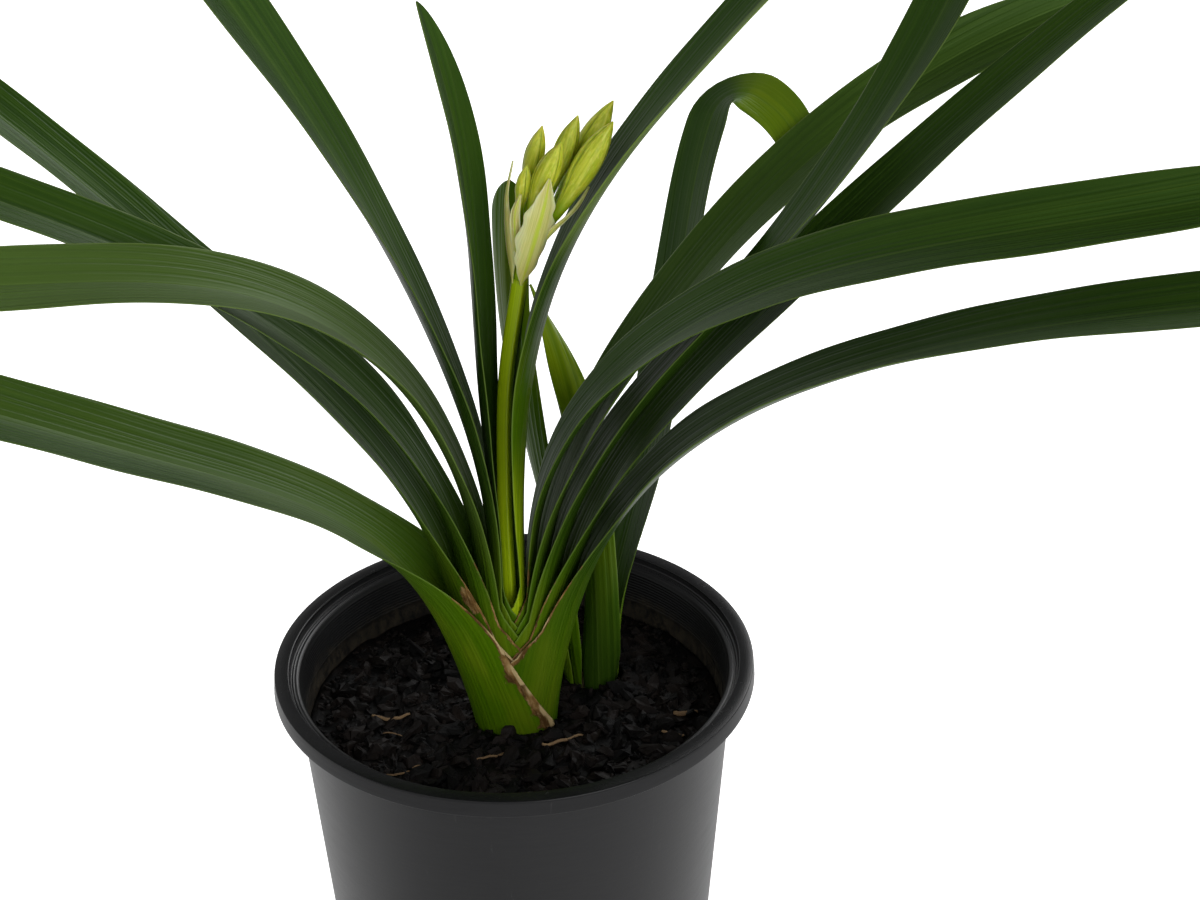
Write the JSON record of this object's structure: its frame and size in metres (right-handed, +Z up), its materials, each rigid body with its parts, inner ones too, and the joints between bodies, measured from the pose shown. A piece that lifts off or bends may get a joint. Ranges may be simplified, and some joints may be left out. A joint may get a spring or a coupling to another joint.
{
  "type": "potted clivia",
  "caption": "Potted clivia: two shoots of arching strap leaves and a stalk of green buds, in a stepped-flange nursery pot filled with bark mix.",
  "frame": {"origin": "centre of the pot's underside", "axes": "+Z up along the pot's axis, +X to the right and -Y towards the viewer: the two ranks of leaves spread to -X and +X"},
  "size_m": [0.6487, 0.2289, 0.5443],
  "materials": {
    "pot_plastic": "satin black moulded plastic",
    "potting_mix": "damp dark bark chips",
    "crown": "dry papery brown",
    "leaf": "glossy dark green leaf with fine lengthwise veins",
    "young_leaf": "satin light green young leaf",
    "stalk": "satin yellow-green flattened flower stalk",
    "bud": "waxy lime-yellow flower buds",
    "bract": "thin translucent cream-green bract"
  },
  "bodies": {
    "root": {"pot": "pot_plastic", "soil": "potting_mix", "crown_main": "crown", "crown_rear": "crown", "leaf_left_low": "leaf", "leaf_left_2": "leaf", "leaf_left_3": "leaf", "leaf_left_4": "leaf", "leaf_left_5": "leaf", "leaf_left_6": "leaf", "leaf_right_low": "leaf", "leaf_right_2": "leaf", "leaf_right_3": "leaf", "leaf_right_4": "leaf", "leaf_right_5": "leaf", "leaf_right_6": "leaf", "leaf_inner": "leaf", "rear_tall": "leaf", "rear_left": "leaf", "rear_young": "young_leaf", "rear_scale": "young_leaf", "scape": "stalk", "umbel": "bud", "bract_front": "bract", "bract_left": "bract"}
  },
  "joints": []
}
